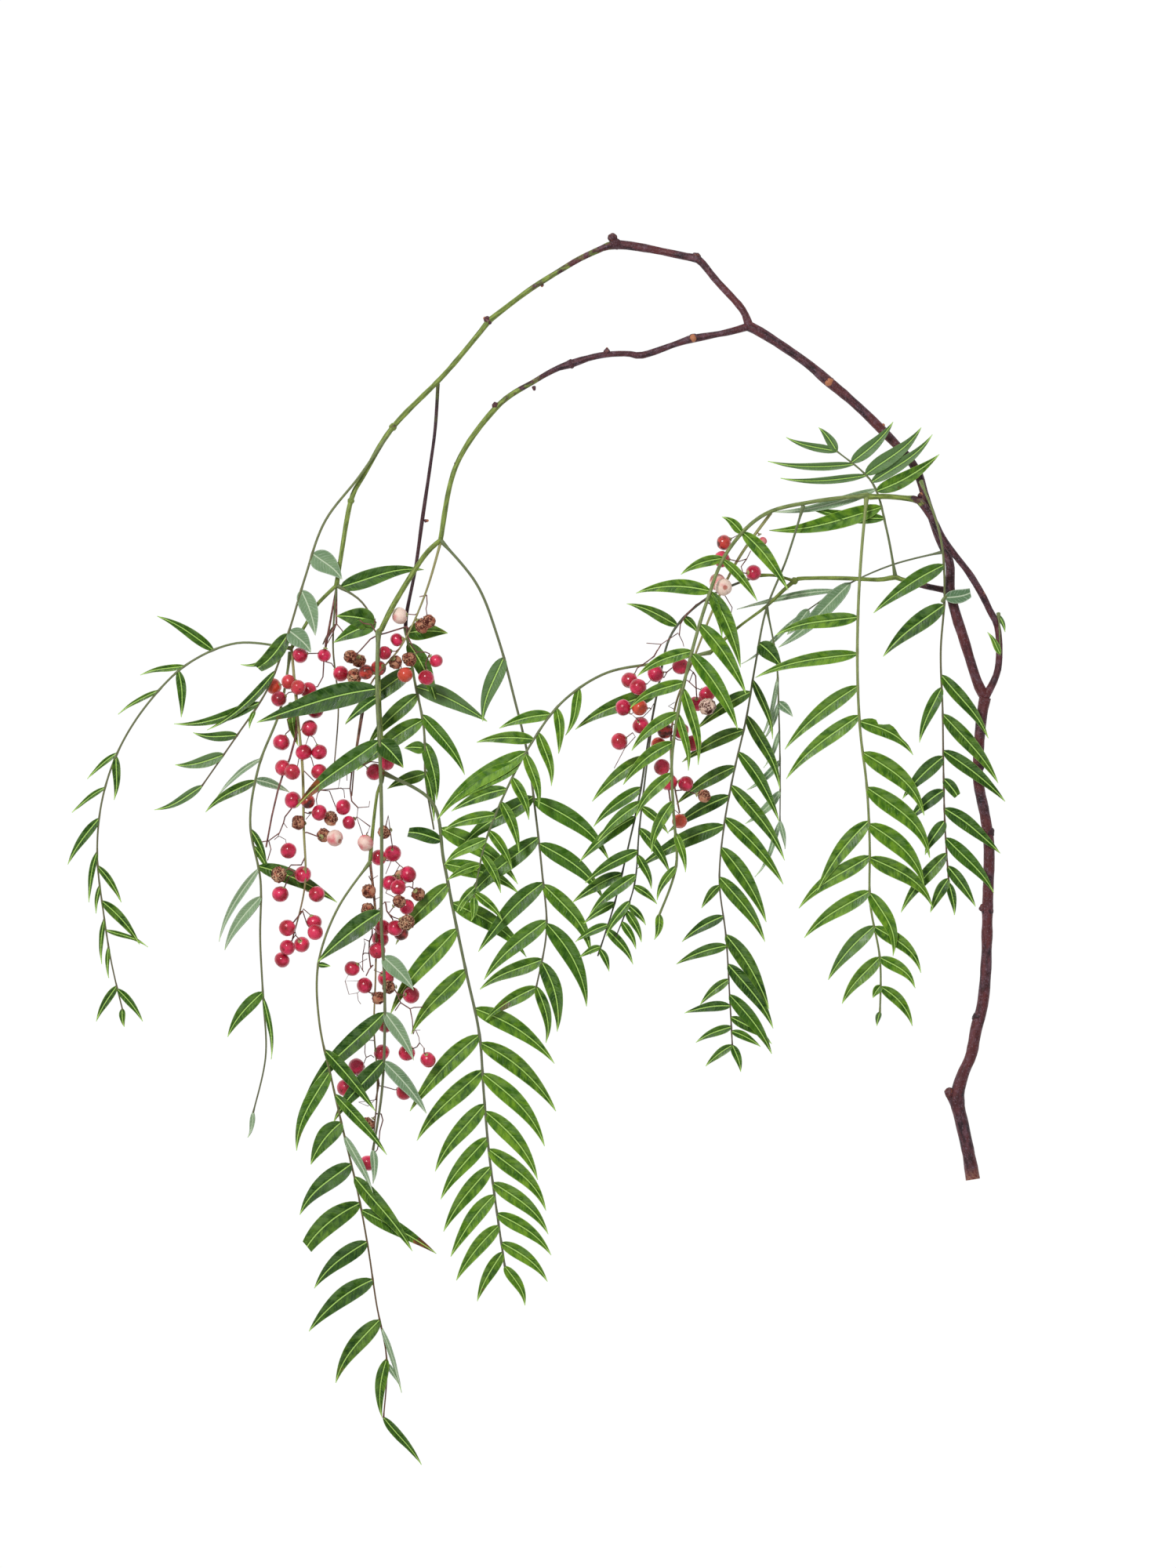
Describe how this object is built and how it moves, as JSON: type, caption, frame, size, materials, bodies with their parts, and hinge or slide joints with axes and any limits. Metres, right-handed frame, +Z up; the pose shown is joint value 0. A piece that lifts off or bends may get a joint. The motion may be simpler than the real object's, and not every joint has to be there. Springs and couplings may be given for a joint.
{
  "type": "pink peppercorn sprig",
  "caption": "Cut, arching peppertree sprig laid flat: woody branch, hanging pinnate fronds of narrow leaflets, and panicles of small crimson drupes, some pale or dried.",
  "frame": {"origin": "centre of the bounding box in plan, on the surface that the sprig lies on", "axes": "+Z up from the surface; +Y from the hanging leaf tips towards the top of the arch, the sprig's longest way; +X towards the cut woody stem's side"},
  "size_m": [0.3341, 0.4396, 0.0365],
  "materials": {
    "bark": "matt purple-brown bark with pale flecks, tan knots and greener young twigs",
    "leaf": "satin green leaf face with a pale midrib and fine side veins",
    "leaf_back": "matt pale grey-green leaf back",
    "berry": "glossy crimson papery skin, pale pink or tan and netted where dried"
  },
  "bodies": {
    "root": {"branch": "bark", "frond_far_left": "leaf", "frond_left_arch": "leaf", "frond_left_hanging": "leaf", "frond_centre_left": "leaf", "leafy_stem_upper_left": "leaf", "frond_low_left": "leaf", "frond_low_centre": "leaf", "frond_upper_left": "leaf", "frond_short_centre": "leaf", "frond_centre": "leaf", "frond_front_right": "leaf", "frond_inner_right": "leaf", "frond_mid_right": "leaf", "frond_pale_right": "leaf_back", "frond_right": "leaf", "frond_far_right": "leaf", "tuft_upper_right": "leaf", "tuft_pale_right": "leaf_back", "berries_left": "berry", "berries_upper": "berry", "berries_middle": "berry", "berries_right": "berry"}
  },
  "joints": []
}
